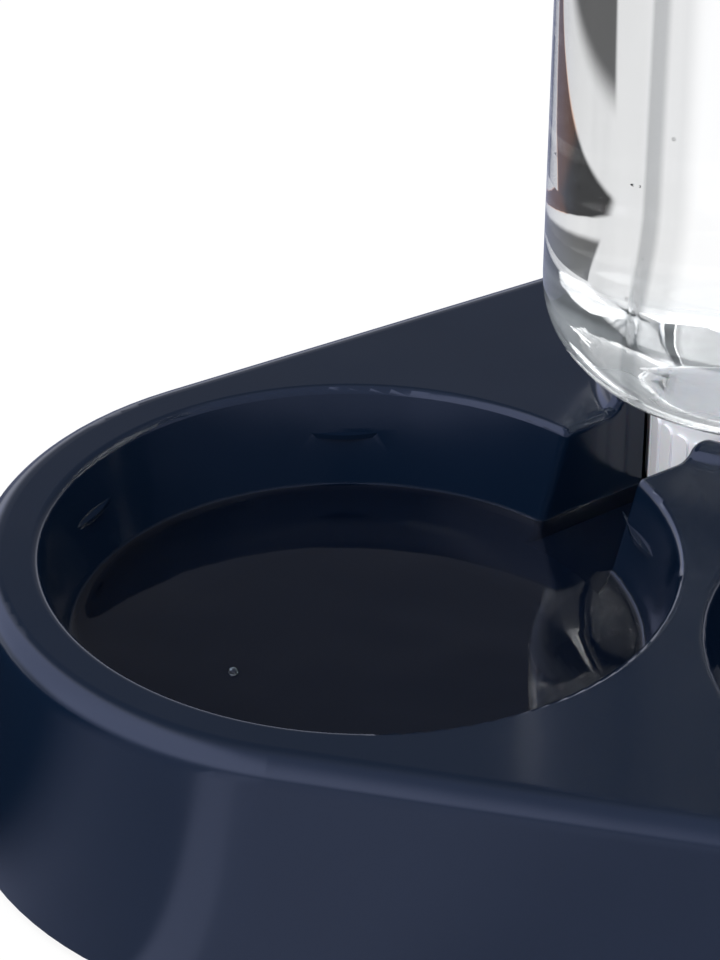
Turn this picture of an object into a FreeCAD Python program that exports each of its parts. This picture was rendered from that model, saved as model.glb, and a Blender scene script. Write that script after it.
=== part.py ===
import FreeCAD, Part
import math
import os
import re
import Sketcher

# Double bowl for a cat with an inverted water bottle: x to the right, y to the back, z up.
# Each piece is drawn with y = 0 through the two bowls and z = 0 on the floor, and then placed
# so that the origin lies under the middle of the whole object.

Vector = FreeCAD.Vector
doc = FreeCAD.newDocument("CatBowl")

# Ledges round each bowl, and rests under the cap with room for one more at the channel
LEDGES = 6
RESTS = 5

# Sizes in millimetres and degrees
SIZES = {
    # Moulded base
    "body_height": 60,
    "foot_gap": 2,
    "skin": 2.6,
    "land_width": 13,
    "back_land": 32.8,
    "bowl_gap": 7,
    "draft": 3,
    "edge_round": 6,
    "rib_thick": 2,
    "rib_base": 14,
    # Bowls
    "rim_radius": 65,
    "bowl_depth": 34,
    "wall_lean": 17,
    "floor_round": 16,
    "rim_round": 2,
    "ledge_drop": 10,
    "ledge_length": 13,
    "ledge_reach": 1.2,
    "ledge_thick": 1.1,
    "ledge_turn": 46,
    "ledge_aside": 13,
    # Channel and bottle seat
    "channel_length": 17.8,
    "channel_width": 22.6,
    "channel_depth": 28,
    "seat_play": 1.7,
    "collar_height": 3.5,
    "collar_funnel": 3.3,
    "collar_crest": 3.6,
    "collar_flank": 2.3,
    "collar_foot": 3,
    "collar_round": 3.2,
    "rest_length": 10,
    "pin_radius": 3,
    # Bottle
    "bottle_radius": 48,
    "bottle_skin": 1.2,
    "bottle_rise": 165,
    "neck_radius": 20.4,
    "neck_length": 22.25,
    "neck_skin": 1.8,
    "neck_round": 1.5,
    "shoulder_lean": 17,
    "shoulder_round": 19,
    "end_round": 12,
    "dimple_land": 8,
    "dimple_depth": 4,
    "dimple_round": 2.5,
    # Screw cap
    "water_drop": 20.5,
    "mouth_dip": 1,
    "cap_radius": 24.3,
    "cap_skin": 1.8,
    "brim_gap": 0.4,
    "cap_plate": 2.2,
    "cap_round": 1,
    "drain_radius": 7,
    "grip_count": 30,
    "grip_gap": 1.2,
    "grip_height": 19,
    "grip_depth": 0.6,
    "grip_round": 1.3,
    "washer_thick": 1.5,
    # Valve in the cap
    "valve_lift": 3,
    "disc_radius": 10,
    "disc_thick": 2,
    "pad_thick": 1.2,
    "stem_radius": 2,
    "stem_dip": 0.5,
    "stem_reach": 4,
    "cage_radius": 13,
    "cage_rise": 16,
    "cage_skin": 1.6,
    "cage_leg": 4,
    "cage_play": 0.8,
    "post_count": 3,
    "spring_radius": 4.6,
    "spring_wire": 0.8,
    "spring_turns": 4,
    # Rubber feet
    "boss_radius": 9,
    "boss_angle": 50,
    "foot_radius": 7.5,
    "foot_sink": 1,
    "plug_radius": 3.5,
    "plug_length": 6,
    # Fits
    "contact_gap": 0.05,
    "running_gap": 0.08,
}

# Sizes that follow from those, as formulas
SHARED = {
    "lobe_radius": "(rim_radius + land_width)",
    "back_radius": "(collar_radius + back_land)",
    "bowl_offset": "(rim_radius + bowl_gap / 2)",
    "line_length": "(rim_radius + channel_length + seat_radius)",
    "seat_offset": "sqrt(line_length ^ 2 - bowl_offset ^ 2)",
    "line_turn": "atan(seat_offset / bowl_offset)",
    "row_shift": "((seat_offset + back_radius - lobe_radius) / 2)",
    "channel_floor": "(body_height - channel_depth)",
    "seat_radius": "(cap_radius + seat_play)",
    "collar_radius": "(seat_radius + collar_funnel + collar_crest + collar_flank)",
    "collar_top": "(body_height + collar_height)",
    "shoulder_slope": "tan(shoulder_lean * 1 deg)",
    "bottle_top": "(body_height + bottle_rise)",
    "dimple_radius": "(bottle_radius - end_round - dimple_land)",
    "mouth": "(body_height - water_drop - mouth_dip)",
    "plate_top": "(mouth + cap_plate)",
    "lip": "(plate_top + washer_thick)",
    "cap_body": "(cap_radius - grip_depth)",
    "cap_bore": "(cap_body - cap_skin)",
    "pad_base": "(plate_top + valve_lift)",
    "disc_base": "(pad_base + pad_thick)",
    "disc_top": "(disc_base + disc_thick)",
    "stem_base": "(mouth - stem_dip)",
    "cage_top": "(plate_top + cage_rise)",
    "cage_bore": "(disc_radius + cage_play)",
    "foot_seat": "(foot_gap + foot_sink)",
}

sheet = doc.addObject("Spreadsheet::Sheet", "Sizes")
for row, (alias, amount) in enumerate(SIZES.items(), start=1):
    sheet.set("A%d" % row, alias)
    sheet.set("B%d" % row, str(amount))
    sheet.setAlias("B%d" % row, alias)
doc.recompute()


def bound(text):
    """The formula with shared sizes written out and each size's name pointed at the sheet."""

    def swap(word):
        """What one word of the formula stands for."""
        if word[0] in SHARED:
            return bound(SHARED[word[0]])
        return "Sizes." + word[0] if word[0] in SIZES else word[0]

    return re.sub(r"[a-z]\w*", swap, text)


def amount_of(text):
    """The formula's present value."""
    result = sheet.evalExpression(bound(text))
    return float(getattr(result, "Value", result))


def shoulder_at(radius):
    """The height of the bottle's cone-shaped shoulder at a radius."""
    return "(lip + neck_length + (%s - neck_radius) * shoulder_slope)" % radius


def new_body(name, x="0", y="0"):
    """An empty body whose own axis stands at a plan position given from the middle of the bowl row."""
    body = doc.addObject("PartDesign::Body", name)
    body.Label = name
    body.setExpression("Placement.Base.x", bound(x))
    body.setExpression("Placement.Base.y", bound("%s - row_shift" % y))
    return body


def new_sketch(body, name, role="XY_Plane", x="0", y="0", z="0", turn=None):
    """A sketch on one of the body's origin planes, moved and turned about the vertical."""
    sketch = body.newObject("Sketcher::SketchObject", name)
    plane = [feature for feature in body.Origin.OriginFeatures if feature.Role == role][0]
    sketch.AttachmentSupport = [(plane, "")]
    sketch.MapMode = "FlatFace"
    if turn:
        vertical = Vector(0, 0, 1) if role == "XY_Plane" else Vector(0, 1, 0)
        sketch.AttachmentOffset = FreeCAD.Placement(Vector(), FreeCAD.Rotation(vertical, 1))
        sketch.setExpression("AttachmentOffset.Rotation.Angle", bound(turn))
    for axis, text in (("x", x), ("y", y), ("z", z)):
        if text != "0":
            sketch.setExpression("AttachmentOffset.Base." + axis, bound(text))
    return sketch


def bind(sketch, kind, *where):
    """A constraint whose last item is a formula, bound to the sheet."""
    text = where[-1]
    start = amount_of(text)
    if kind == "Angle":
        start = math.radians(start)
    index = sketch.addConstraint(Sketcher.Constraint(kind, *where[:-1], start))
    sketch.setExpression("Constraints[%d]" % index, bound(text))


def place_point(sketch, item, end, x, y):
    """Hold one point of the sketch at two formulas from its origin."""
    bind(sketch, "DistanceX", -1, 1, item, end, x)
    bind(sketch, "DistanceY", -1, 1, item, end, y)


def draw_circle(sketch, radius, x="0", y="0"):
    """A full circle."""
    centre = Vector(amount_of(x), amount_of(y), 0)
    item = sketch.addGeometry(Part.Circle(centre, Vector(0, 0, 1), amount_of(radius)), False)
    bind(sketch, "Radius", item, radius)
    place_point(sketch, item, 3, x, y)


def draw_section(sketch, corners):
    """A closed outline through corners given as formulas for x, y and, where it is rounded, a radius."""
    points = [Vector(amount_of(corner[0]), amount_of(corner[1]), 0) for corner in corners]
    count = len(corners)
    entries, leaves, arcs = [], [], []
    for index, corner in enumerate(corners):
        point = points[index]
        if len(corner) == 2:
            entries.append(point)
            leaves.append(point)
            arcs.append(None)
            continue
        back = (points[index - 1] - point).normalize()
        ahead = (points[(index + 1) % count] - point).normalize()
        half = back.getAngle(ahead) / 2
        radius = amount_of(corner[2])
        middle = point + (back + ahead).normalize() * (radius / math.sin(half))
        entries.append(point + back * (radius / math.tan(half)))
        leaves.append(point + ahead * (radius / math.tan(half)))
        ends = [entries[-1] - middle, leaves[-1] - middle]
        left_turn = back.cross(ahead).z < 0
        first, last = ends if left_turn else reversed(ends)
        circle = Part.Circle(middle, Vector(0, 0, 1), radius)
        span = [math.atan2(tip.y, tip.x) for tip in (first, last)]
        arcs.append((Part.ArcOfCircle(circle, *span), left_turn))
    for index in range(count):
        sketch.addGeometry(Part.LineSegment(leaves[index], entries[(index + 1) % count]), False)
    for index, corner in enumerate(corners):
        before = (index - 1) % count
        if arcs[index] is None:
            sketch.addConstraint(Sketcher.Constraint("Coincident", before, 2, index, 1))
            place_point(sketch, index, 1, corner[0], corner[1])
            continue
        arc, left_turn = arcs[index]
        bend = sketch.addGeometry(arc, False)
        tip = sketch.addGeometry(Part.Point(points[index]), True)
        sketch.addConstraint(Sketcher.Constraint("Tangent", before, 2, bend, 1 if left_turn else 2))
        sketch.addConstraint(Sketcher.Constraint("Tangent", index, 1, bend, 2 if left_turn else 1))
        bind(sketch, "Radius", bend, corner[2])
        sketch.addConstraint(Sketcher.Constraint("PointOnObject", tip, 1, before))
        sketch.addConstraint(Sketcher.Constraint("PointOnObject", tip, 1, index))
        place_point(sketch, tip, 1, corner[0], corner[1])


def draw_outline(sketch, lobe, back):
    """The base's plan: a lobe round each bowl and one round the bottle, joined by tangents."""
    offset, seat = amount_of("bowl_offset"), amount_of("seat_offset")
    big, small = amount_of(lobe), amount_of(back)
    turn = math.atan2(seat, offset) + math.acos((big - small) / math.hypot(seat, offset))
    left, right, rear = Vector(-offset, 0, 0), Vector(offset, 0, 0), Vector(0, seat, 0)
    up = Vector(0, 0, 1)
    west = Vector(math.cos(turn), math.sin(turn), 0)
    east = Vector(-west.x, west.y, 0)
    front = Vector(0, -big, 0)
    last = math.pi - turn
    items = [
        Part.ArcOfCircle(Part.Circle(left, up, big), turn, 1.5 * math.pi),
        Part.LineSegment(left + front, right + front),
        Part.ArcOfCircle(Part.Circle(right, up, big), 1.5 * math.pi, 2 * math.pi + last),
        Part.LineSegment(right + east * big, rear + east * small),
        Part.ArcOfCircle(Part.Circle(rear, up, small), last, turn),
        Part.LineSegment(rear + west * small, left + west * big),
    ]
    sketch.addGeometry(items, False)
    for index in range(6):
        sketch.addConstraint(Sketcher.Constraint("Tangent", index, 2, (index + 1) % 6, 1))
    bind(sketch, "Radius", 0, lobe)
    bind(sketch, "Radius", 2, lobe)
    bind(sketch, "Radius", 4, back)
    place_point(sketch, 0, 3, "-1 * bowl_offset", "0")
    place_point(sketch, 2, 3, "bowl_offset", "0")
    place_point(sketch, 4, 3, "0", "seat_offset")


def cup_corners(grow, top):
    """Half of a bowl's section, grown outward: leaning wall, rounded corner and flat floor."""
    floor = "(body_height - bowl_depth - %s)" % grow
    lean = "tan(wall_lean * 1 deg)"
    return [("0", floor), ("rim_radius + %s - (%s - %s) * %s" % (grow, top, floor, lean), floor,
                           "floor_round + %s" % grow), ("rim_radius + %s" % grow, top), ("0", top)]


def rib_corners(before, after):
    """Side view of a rib that ends inside the skirt's skin, given the plan's reach to each side."""
    slope = "tan(draft * 1 deg)"
    ends = []
    for sign, span in (("-1 * ", before), ("", after)):
        ends.append([
            ("%s(%s - skin / 2 + (body_height - rib_base) * %s)" % (sign, span, slope), "rib_base"),
            ("%s(%s - skin / 2 + edge_round * %s)" % (sign, span, slope), "body_height - edge_round"),
            ("%s(%s - edge_round)" % (sign, span), "body_height - skin / 2"),
        ])
    return ends[1] + ends[0][::-1]


def pull(body, sketch, name, length, kind="Pad", down=False, taper=None):
    """Pad or pocket a sketch by a length, upward from it unless down is set."""
    feature = body.newObject("PartDesign::" + kind, name)
    feature.Profile = sketch
    feature.Type = "Length"
    feature.setExpression("Length", bound(length))
    feature.Reversed = down if kind == "Pad" else not down
    if taper:
        feature.setExpression("TaperAngle", bound(taper))
    body.Tip = feature
    return feature


def spin(body, sketch, name, kind="Revolution", angle="360 deg"):
    """Turn a sketch about its own vertical axis."""
    feature = body.newObject("PartDesign::" + kind, name)
    feature.Profile = sketch
    feature.ReferenceAxis = (sketch, ["V_Axis"])
    feature.setExpression("Angle", bound(angle))
    body.Tip = feature
    return feature


def mirror(body, name, features):
    """Repeat features on the other side of the object's middle."""
    plane = [feature for feature in body.Origin.OriginFeatures if feature.Role == "YZ_Plane"][0]
    copy = body.newObject("PartDesign::Mirrored", name)
    copy.Originals = features
    copy.MirrorPlane = (plane, [""])
    body.Tip = copy
    return copy


def repeat(body, name, features, count):
    """Repeat features evenly in a full turn about the body's own axis."""
    axis = [feature for feature in body.Origin.OriginFeatures if feature.Role == "Z_Axis"][0]
    copies = body.newObject("PartDesign::PolarPattern", name)
    copies.Originals = features
    copies.Axis = (axis, [""])
    copies.Angle = 360
    copies.setExpression("Occurrences", bound(count))
    body.Tip = copies
    return copies


def round_off(body, name, radius, wanted):
    """Fillet the edges of the body so far that a test picks."""
    doc.recompute()
    before = body.Tip
    edges = enumerate(before.Shape.Edges, start=1)
    names = ["Edge%d" % number for number, edge in edges if wanted(edge)]
    if not names:
        raise ValueError("%s: no edge found" % name)
    fillet = body.newObject("PartDesign::Fillet", name)
    fillet.Base = (before, names)
    fillet.setExpression("Radius", bound(radius))
    body.Tip = fillet
    return fillet


def level(edge, height):
    """Whether the whole edge lies at one height."""
    box = edge.BoundBox
    return abs(box.ZMin - height) < 0.01 and abs(box.ZMax - height) < 0.01


def reach(edge, x, y):
    """The distance in plan from the edge's middle to a point."""
    middle = edge.valueAt((edge.FirstParameter + edge.LastParameter) / 2)
    return math.hypot(middle.x - x, middle.y - y)


def make_base():
    """The one-piece moulding: skirt, bowls, channel, seat with collar and pin, ribs and foot bosses."""
    body = new_body("base")
    top = amount_of("body_height")
    offset = amount_of("bowl_offset")

    # Skirt and top, hollow from below
    plan = new_sketch(body, "skirt_plan", z="body_height")
    draw_outline(plan, "lobe_radius", "back_radius")
    pull(body, plan, "skirt", "body_height - foot_gap", down=True, taper="draft")
    round_off(body, "skirt_round", "edge_round", lambda edge: level(edge, top))
    plan = new_sketch(body, "hollow_plan", z="body_height - skin")
    draw_outline(plan, "lobe_radius - skin", "back_radius - skin")
    pull(body, plan, "hollow", "body_height - skin - foot_gap + 1", kind="Pocket", down=True, taper="draft")
    under = amount_of("body_height - skin")
    round_off(body, "hollow_round", "edge_round - skin", lambda edge: level(edge, under))

    # Ribs that cross under the bowls and the seat
    lengthwise = new_sketch(body, "long_rib_side", "XZ_Plane", z="-rib_thick / 2")
    draw_section(lengthwise, rib_corners("bowl_offset + lobe_radius", "bowl_offset + lobe_radius"))
    pull(body, lengthwise, "long_rib", "rib_thick")
    crosswise = new_sketch(body, "cross_rib_side", "YZ_Plane", z="-rib_thick / 2")
    draw_section(crosswise, rib_corners("lobe_radius", "seat_offset + back_radius"))
    pull(body, crosswise, "cross_rib", "rib_thick")

    # Foot bosses, on the left and then mirrored
    bosses = new_sketch(body, "boss_plan", z="foot_seat")
    for x, y in foot_centres("-1 * "):
        draw_circle(bosses, "boss_radius", x, y)
    boss = pull(body, bosses, "bosses", "body_height - skin / 2 - foot_seat")
    mirror(body, "bosses_right", [boss])

    # Outside of the bowls, the channel and the seat
    cup = new_sketch(body, "bowl_outside_section", "XZ_Plane", x="-1 * bowl_offset")
    draw_section(cup, cup_corners("skin", "(body_height - skin / 2)"))
    mirror(body, "bowl_outside_right", [spin(body, cup, "bowl_outside")])
    block = new_sketch(body, "channel_outside_plan", x="-1 * bowl_offset", z="channel_floor - skin",
                       turn="line_turn")
    half = "(channel_width / 2 + skin)"
    draw_section(block, [("rim_radius / 2", "-1 * " + half), ("line_length", "-1 * " + half),
                         ("line_length", half), ("rim_radius / 2", half)])
    pull(body, block, "channel_outside", "channel_depth + skin / 2")
    ring = new_sketch(body, "seat_outside_plan", y="seat_offset", z="channel_floor - skin")
    draw_circle(ring, "seat_radius + skin")
    pull(body, ring, "seat_outside", "channel_depth + skin / 2")

    # Collar round the seat, with a lead for the cap on its inner side
    collar = new_sketch(body, "collar_section", "XZ_Plane", z="-1 * seat_offset")
    low, start, foot = "(body_height - skin)", "(seat_radius - skin)", "(collar_radius + collar_foot)"
    draw_section(collar, [(start, low), (foot, low), (foot, "body_height"),
                          ("collar_radius", "body_height", "collar_foot"),
                          ("collar_radius - collar_flank", "collar_top", "collar_round"),
                          ("seat_radius + collar_funnel", "collar_top", "collar_round"),
                          ("seat_radius", "body_height"), (start, "body_height")])
    spin(body, collar, "collar")

    # Insides of the bowls, the channel and the seat
    cup = new_sketch(body, "bowl_inside_section", "XZ_Plane", x="-1 * bowl_offset")
    draw_section(cup, cup_corners("0", "body_height"))
    mirror(body, "bowl_inside_right", [spin(body, cup, "bowl_inside", "Groove")])
    well = new_sketch(body, "seat_inside_plan", y="seat_offset", z="channel_floor")
    draw_circle(well, "seat_radius")
    pull(body, well, "seat_inside", "channel_depth + 2 * collar_height", kind="Pocket")
    slot = new_sketch(body, "channel_plan", x="-1 * bowl_offset", z="channel_floor", turn="line_turn")
    draw_section(slot, [("rim_radius / 2", "-channel_width / 2"), ("line_length", "-channel_width / 2"),
                        ("line_length", "channel_width / 2"), ("rim_radius / 2", "channel_width / 2")])
    pull(body, slot, "channel", "channel_depth + 2 * collar_height", kind="Pocket")

    # Rests that the cap stands on
    for number in range(1, RESTS + 1):
        rest = new_sketch(body, "rest_plan_%d" % number, y="seat_offset", z="channel_floor - skin / 2",
                          turn="180 deg + line_turn + %d * 360 deg / %d" % (number, RESTS + 1))
        draw_section(rest, [("seat_radius - rest_length", "-rib_thick / 2"),
                            ("seat_radius + skin / 2", "-rib_thick / 2"),
                            ("seat_radius + skin / 2", "rib_thick / 2"),
                            ("seat_radius - rest_length", "rib_thick / 2")])
        pull(body, rest, "rest_%d" % number, "mouth - contact_gap - channel_floor + skin / 2")

    # Pin that lifts the valve
    pin = new_sketch(body, "pin_plan", y="seat_offset", z="channel_floor - skin / 2")
    draw_circle(pin, "pin_radius")
    pull(body, pin, "pin", "stem_base - contact_gap - channel_floor + skin / 2")

    # Rounded edges: both rims, and the channel's edges and corners in one sweep with the left rim
    half_width = amount_of("channel_width / 2")
    turn = math.radians(amount_of("line_turn"))
    rim = amount_of("rim_radius")

    def rim_or_channel(edge):
        """Whether the edge is a bowl's rim, or an upper edge or a bowl corner of the channel."""
        middle = edge.valueAt((edge.FirstParameter + edge.LastParameter) / 2)
        across = -math.sin(turn) * (middle.x + offset) + math.cos(turn) * middle.y
        beside_channel = abs(abs(across) - half_width) < 0.05
        on_rim = min(abs(reach(edge, side, 0) - rim) for side in (offset, -offset)) < 0.1
        corner = beside_channel and abs(edge.BoundBox.ZMax - top) < 0.01 and reach(edge, -offset, 0) < rim
        return corner or (level(edge, top) and (on_rim or beside_channel))

    round_off(body, "bowl_rims", "rim_round", rim_or_channel)

    # Small ledges on the bowl walls, evenly spaced but for the one that makes room for the channel
    wall_radius = "(rim_radius - ledge_drop * tan(wall_lean * 1 deg))"
    ledges = []
    for number in range(LEDGES):
        turn = "(ledge_turn + %d * 360 / %d) * 1 deg" % (number, LEDGES)
        if number == 0:
            turn = "(ledge_turn - ledge_aside) * 1 deg"
        lens = new_sketch(body, "ledge_plan_%d" % number, x="-1 * bowl_offset",
                          z="body_height - ledge_drop - ledge_thick / 2", turn=turn)
        draw_section(lens, [("%s + skin / 4" % wall_radius, "-0.9 * ledge_length"),
                            ("%s + skin / 4" % wall_radius, "0.9 * ledge_length"),
                            ("%s - 1.3 * ledge_reach" % wall_radius, "0", "1.7 * ledge_length")])
        ledges.append(pull(body, lens, "ledge_%d" % number, "ledge_thick"))
    mirror(body, "ledges_right", ledges)

    # Holes for the feet
    holes = new_sketch(body, "plug_hole_plan", z="foot_seat")
    for x, y in foot_centres("-1 * "):
        draw_circle(holes, "plug_radius + contact_gap", x, y)
    hole = pull(body, holes, "plug_holes", "plug_length + contact_gap", kind="Pocket")
    mirror(body, "plug_holes_right", [hole])
    return body


def foot_centres(side):
    """The plan positions of the front and the back foot on one side."""
    spread = "(boss_radius + edge_round)"
    turn = "boss_angle * 1 deg"
    front = (side + "(bowl_offset + (lobe_radius - %s) * cos(%s))" % (spread, turn),
             "-1 * (lobe_radius - %s) * sin(%s)" % (spread, turn))
    back = (side + "(back_radius - %s) * sin(%s)" % (spread, turn),
            "seat_offset + (back_radius - %s) * cos(%s)" % (spread, turn))
    return front, back


def make_bottle():
    """Clear blown bottle, upside down over its seat: neck below, dished end above."""
    body = new_body("bottle", y="seat_offset")
    outside = new_sketch(body, "bottle_outside", "XZ_Plane")
    draw_section(outside, [
        ("0", "lip"),
        ("neck_radius", "lip"),
        ("neck_radius", shoulder_at("neck_radius"), "neck_round"),
        ("bottle_radius", shoulder_at("bottle_radius"), "shoulder_round"),
        ("bottle_radius", "bottle_top", "end_round"),
        ("dimple_radius", "bottle_top", "dimple_round"),
        ("dimple_radius - dimple_depth", "bottle_top - dimple_depth", "dimple_round"),
        ("0", "bottle_top - dimple_depth"),
    ])
    spin(body, outside, "bottle_solid")
    raised = " + bottle_skin / cos(shoulder_lean * 1 deg)"
    aside = " + bottle_skin * tan(22.5 deg)"
    inside = new_sketch(body, "bottle_inside", "XZ_Plane")
    draw_section(inside, [
        ("0", "lip - 1"),
        ("neck_radius - neck_skin", "lip - 1"),
        ("neck_radius - neck_skin", shoulder_at("(neck_radius - neck_skin)") + raised,
         "neck_round + neck_skin"),
        ("bottle_radius - bottle_skin", shoulder_at("(bottle_radius - bottle_skin)") + raised,
         "shoulder_round - bottle_skin"),
        ("bottle_radius - bottle_skin", "bottle_top - bottle_skin", "end_round - bottle_skin"),
        ("dimple_radius" + aside, "bottle_top - bottle_skin", "dimple_round + bottle_skin"),
        ("dimple_radius - dimple_depth" + aside, "bottle_top - dimple_depth - bottle_skin",
         "dimple_round - bottle_skin"),
        ("0", "bottle_top - dimple_depth - bottle_skin"),
    ])
    spin(body, inside, "bottle_hollow", "Groove")
    return body


def make_cap():
    """Screw cap with a drain hole, a socket for the valve's cage and upright grip pads."""
    body = new_body("bottle_cap", y="seat_offset")
    brim = shoulder_at("cap_bore") + " - brim_gap"
    section = new_sketch(body, "cap_section", "XZ_Plane")
    draw_section(section, [
        ("drain_radius", "mouth"),
        ("cap_body", "mouth", "cap_round"),
        ("cap_body", brim, "cap_round"),
        ("cap_bore", brim),
        ("cap_bore", "plate_top"),
        ("cage_radius + contact_gap + cage_skin", "plate_top"),
        ("cage_radius + contact_gap + cage_skin", "plate_top + cage_skin"),
        ("cage_radius + contact_gap", "plate_top + cage_skin"),
        ("cage_radius + contact_gap", "plate_top"),
        ("drain_radius", "plate_top"),
    ])
    spin(body, section, "cap")
    half = "(pi * cap_radius / grip_count - grip_gap / 2)"
    grip = new_sketch(body, "grip_shape", "XZ_Plane", z="cap_body - cap_skin / 2")
    draw_section(grip, [
        ("-1 * " + half, "mouth + cap_round"),
        (half, "mouth + cap_round"),
        (half, "mouth + grip_height", "grip_round"),
        ("-1 * " + half, "mouth + grip_height", "grip_round"),
    ])
    repeat(body, "grips", [pull(body, grip, "grip", "grip_depth + cap_skin / 2")], "grip_count")
    return body


def make_ring(name, inner, outer, low, high, y="seat_offset"):
    """A flat ring between two radii and two heights."""
    body = new_body(name, y=y)
    section = new_sketch(body, name + "_section", "XZ_Plane")
    draw_section(section, [(inner, low), (outer, low), (outer, high), (inner, high)])
    spin(body, section, name + "_ring")
    return body


def make_cage():
    """Valve cage: a foot ring in the cap's socket, three posts and a disc with the stem's guide."""
    body = make_ring("valve_cage", "cage_bore", "cage_radius", "plate_top", "plate_top + cage_skin")
    lid = new_sketch(body, "cage_lid_section", "XZ_Plane")
    draw_section(lid, [("stem_radius + running_gap", "cage_top - cage_skin"),
                       ("cage_radius", "cage_top - cage_skin"), ("cage_radius", "cage_top"),
                       ("stem_radius + running_gap", "cage_top")])
    post = new_sketch(body, "post_plan", z="plate_top")
    edge = "sqrt(cage_radius ^ 2 - cage_leg ^ 2 / 4)"
    draw_section(post, [("cage_bore", "-cage_leg / 2"), (edge, "-cage_leg / 2"), (edge, "cage_leg / 2"),
                        ("cage_bore", "cage_leg / 2")])
    repeat(body, "posts", [pull(body, post, "post", "cage_rise")], "post_count")
    spin(body, lid, "cage_lid")
    return body


def make_plunger():
    """Valve plunger: lower stem on the seat's pin, disc, and upper stem in the cage's guide."""
    body = new_body("valve_plunger", y="seat_offset")
    section = new_sketch(body, "plunger_section", "XZ_Plane")
    draw_section(section, [
        ("0", "stem_base"),
        ("pin_radius", "stem_base", "pin_radius / 4"),
        ("pin_radius", "disc_base"),
        ("disc_radius", "disc_base"),
        ("disc_radius", "disc_top", "disc_thick / 3"),
        ("stem_radius", "disc_top"),
        ("stem_radius", "cage_top + stem_reach", "stem_radius / 3"),
        ("0", "cage_top + stem_reach"),
    ])
    spin(body, section, "plunger")
    return body


def make_spring():
    """Valve spring between the plunger's disc and the cage's lid."""
    body = new_body("valve_spring", y="seat_offset")
    wire = new_sketch(body, "wire_section", "XZ_Plane")
    height = "(cage_top - cage_skin - disc_top - spring_wire - 2 * contact_gap)"
    draw_circle(wire, "spring_wire / 2", "spring_radius", "disc_top + spring_wire / 2 + contact_gap")
    coil = body.newObject("PartDesign::AdditiveHelix", "coil")
    coil.Profile = wire
    coil.ReferenceAxis = (wire, ["V_Axis"])
    coil.Mode = "height-turns-angle"
    coil.setExpression("Height", bound(height))
    coil.setExpression("Turns", bound("spring_turns"))
    body.Tip = coil
    return body


def make_foot(name, x, y):
    """Rubber foot with a plug that is pressed up into the base's boss."""
    body = new_body(name, x, y)
    section = new_sketch(body, name + "_section", "XZ_Plane")
    draw_section(section, [("0", "0"), ("foot_radius", "0", "foot_gap / 2"), ("foot_radius", "foot_seat"),
                           ("plug_radius", "foot_seat"), ("plug_radius", "foot_seat + plug_length"),
                           ("0", "foot_seat + plug_length")])
    spin(body, section, name + "_turned")
    return body


made = [
    make_base(),
    make_bottle(),
    make_cap(),
    make_ring("cap_seal", "neck_radius - neck_skin", "cap_bore - contact_gap", "plate_top", "lip"),
    make_cage(),
    make_plunger(),
    make_ring("valve_seal", "pin_radius + contact_gap", "disc_radius - contact_gap",
              "pad_base", "disc_base"),
    make_spring(),
]
for side, sign in (("left", "-1 * "), ("right", "")):
    for place, centre in zip(("front", "back"), foot_centres(sign)):
        made.append(make_foot("foot_%s_%s" % (place, side), *centre))

doc.recompute()
for thing in doc.Objects:
    if "Invalid" in thing.State or "Error" in thing.State:
        raise RuntimeError("%s: %s" % (thing.Name, thing.getStatusString()))
os.makedirs("parts", exist_ok=True)
for body in made:
    if body.Shape.isNull() or not body.Shape.isValid():
        raise RuntimeError(body.Label + " has no valid shape")
    if len(body.Shape.Solids) != 1:
        raise RuntimeError("%s has %d solids" % (body.Label, len(body.Shape.Solids)))
    body.Shape.exportStep("parts/%s.step" % body.Label)
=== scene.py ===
import math

import bmesh
import bpy
from mathutils import Matrix, Vector


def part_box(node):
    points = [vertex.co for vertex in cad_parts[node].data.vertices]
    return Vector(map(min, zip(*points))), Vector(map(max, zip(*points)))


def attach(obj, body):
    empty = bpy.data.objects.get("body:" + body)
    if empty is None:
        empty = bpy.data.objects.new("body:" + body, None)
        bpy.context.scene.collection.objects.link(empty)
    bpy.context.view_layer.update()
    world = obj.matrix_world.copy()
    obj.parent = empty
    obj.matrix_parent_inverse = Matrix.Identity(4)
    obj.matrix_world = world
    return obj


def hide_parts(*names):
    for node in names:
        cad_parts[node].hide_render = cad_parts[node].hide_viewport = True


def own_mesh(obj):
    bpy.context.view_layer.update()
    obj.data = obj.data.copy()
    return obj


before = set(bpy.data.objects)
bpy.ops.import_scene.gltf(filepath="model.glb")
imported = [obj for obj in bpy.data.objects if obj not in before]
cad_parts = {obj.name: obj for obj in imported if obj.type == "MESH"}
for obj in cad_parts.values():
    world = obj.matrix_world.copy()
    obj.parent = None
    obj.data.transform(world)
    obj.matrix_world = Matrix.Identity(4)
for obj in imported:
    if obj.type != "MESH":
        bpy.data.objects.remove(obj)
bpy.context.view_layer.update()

bl_info = {
    "name": "Double cat bowl with water dispenser",
    "version": (1, 0, 0),
    "blender": (4, 5, 0),
    "location": "3D View > Sidebar > Cat Bowl",
    "description": "Finishes, water and studio for a double cat bowl with an inverted bottle",
    "category": "Object",
}

# Places that follow from the frame, in metres
CAP_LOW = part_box("bottle_cap")[0]
BOTTLE_LOW, BOTTLE_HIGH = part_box("bottle")
SEAT_AXIS = Vector((0, (BOTTLE_LOW.y + BOTTLE_HIGH.y) / 2, 0))
BOTTLE_RADIUS = (BOTTLE_HIGH.x - BOTTLE_LOW.x) / 2

# Distances in from the bottle's outside, in metres: the hidden edge of its water, where that water starts to show,
# and the bubbles, which lie just inside the wall of 1.2 mm
WATER_EDGE = 0.0008
WATER_SHOWS = 0.0011
BUBBLES_IN = 0.0013

# Direction of the bottle's parting line round its axis, in degrees
SEAM_TURN = -117

# Height above the floor of the dark ring painted round the bottle's shoulder, a painted shade along its step
PAINTED_RING_HEIGHT = 0.0918

# How far the base's wet finish reaches into the plastic, sideways and down
WET_SIDE = 0.0006
WET_DEPTH = 0.001

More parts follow.
